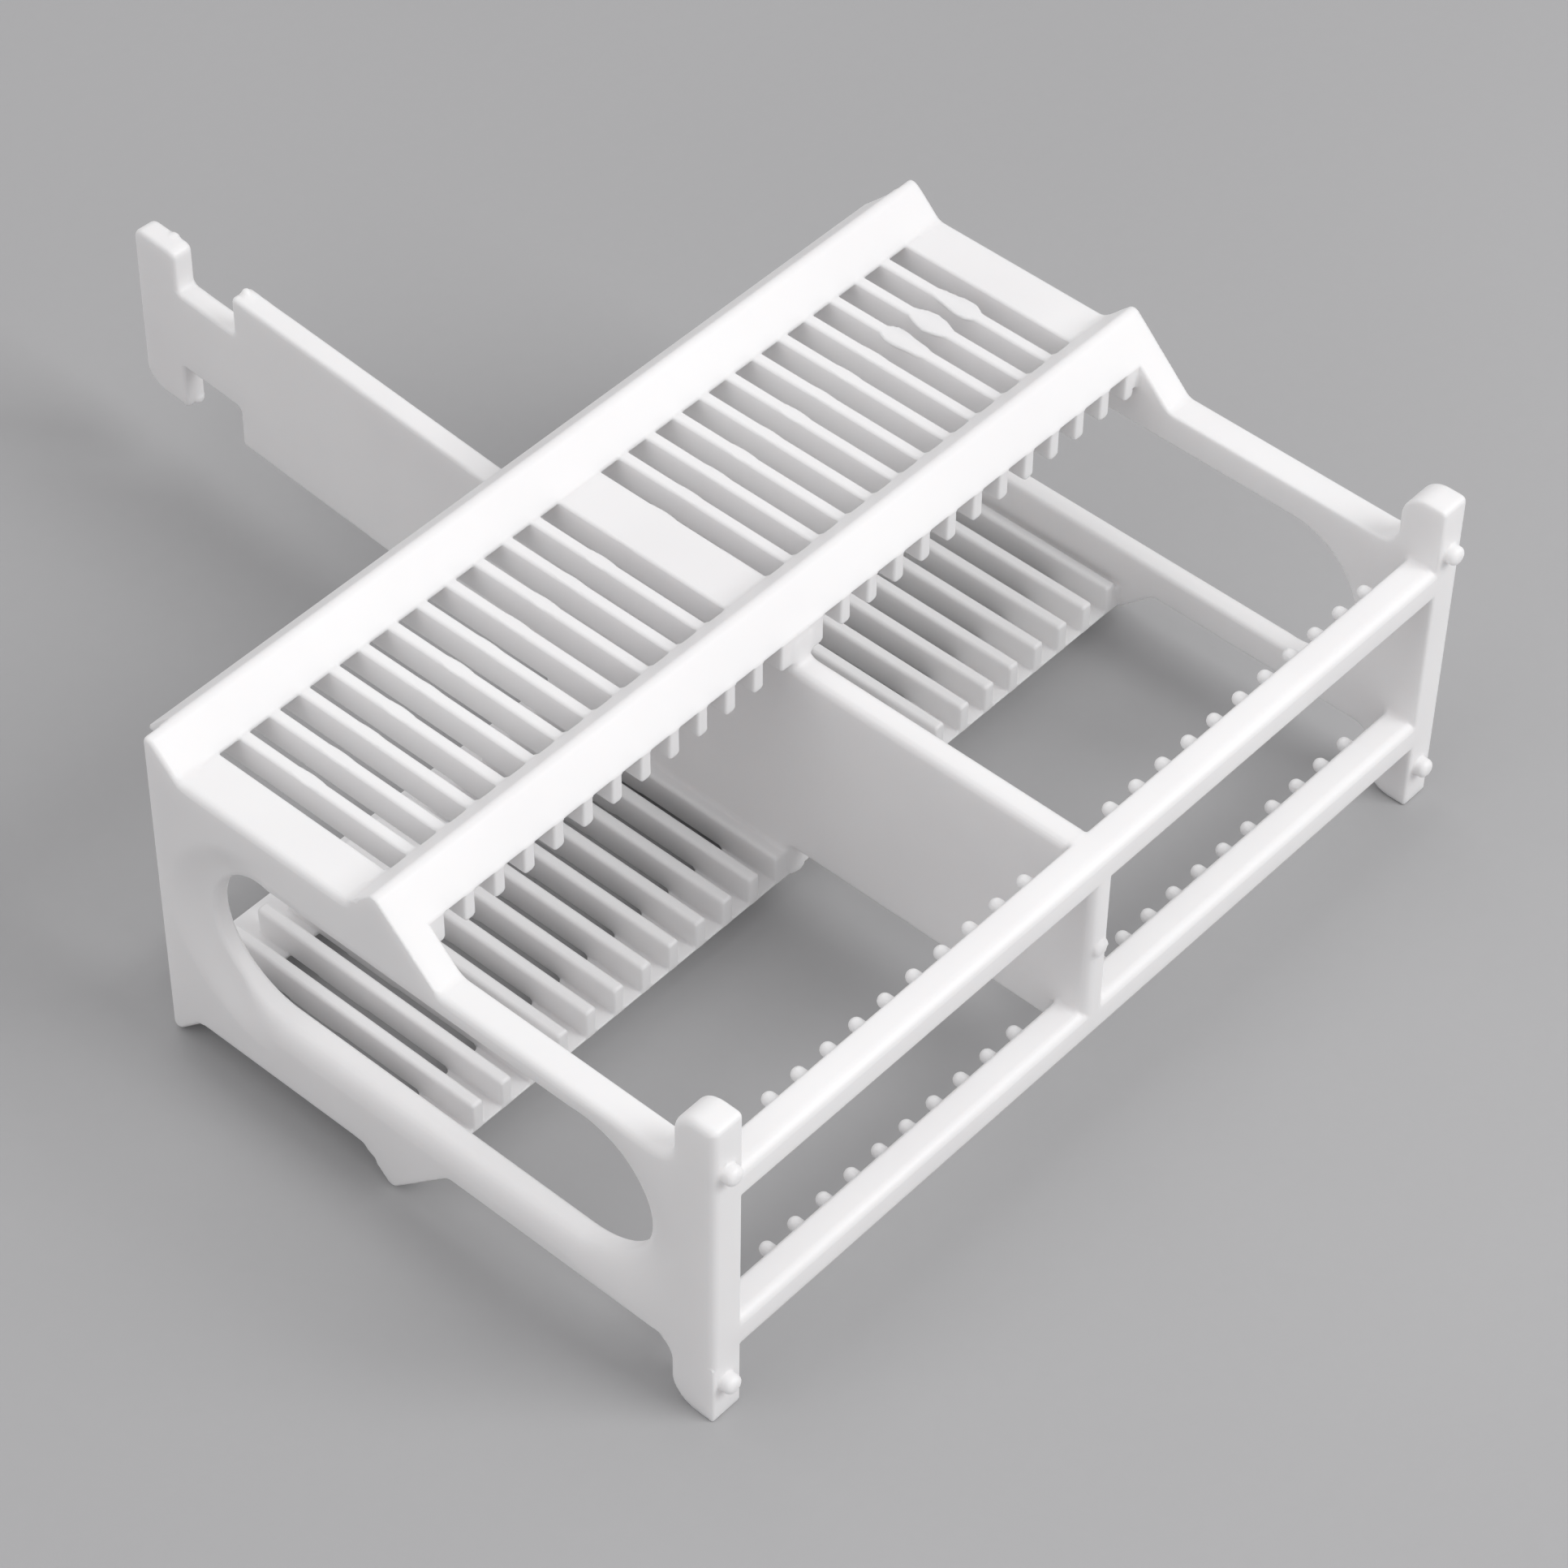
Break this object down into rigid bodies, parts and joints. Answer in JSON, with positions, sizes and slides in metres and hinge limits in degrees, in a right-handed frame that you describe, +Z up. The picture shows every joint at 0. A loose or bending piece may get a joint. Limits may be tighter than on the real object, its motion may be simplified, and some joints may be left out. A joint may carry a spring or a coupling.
{
  "type": "microscope slide rack",
  "caption": "One-piece moulded rack that holds microscope slides upright between ribbed combs in a staining dish, with windowed end walls, front rails and a flat necked handle.",
  "frame": {"origin": "on the table, under the middle of the rack's outline as it lies on its side", "axes": "+X along the row of slides, +Y from the front rails to the handle, +Z up from the table, square to the combs"},
  "size_m": [0.0912, 0.1137, 0.0346],
  "materials": {
    "rack_plastic": "white, slightly translucent moulded plastic with a soft sheen"
  },
  "bodies": {
    "root": {"slide_rack": "rack_plastic"}
  },
  "joints": []
}
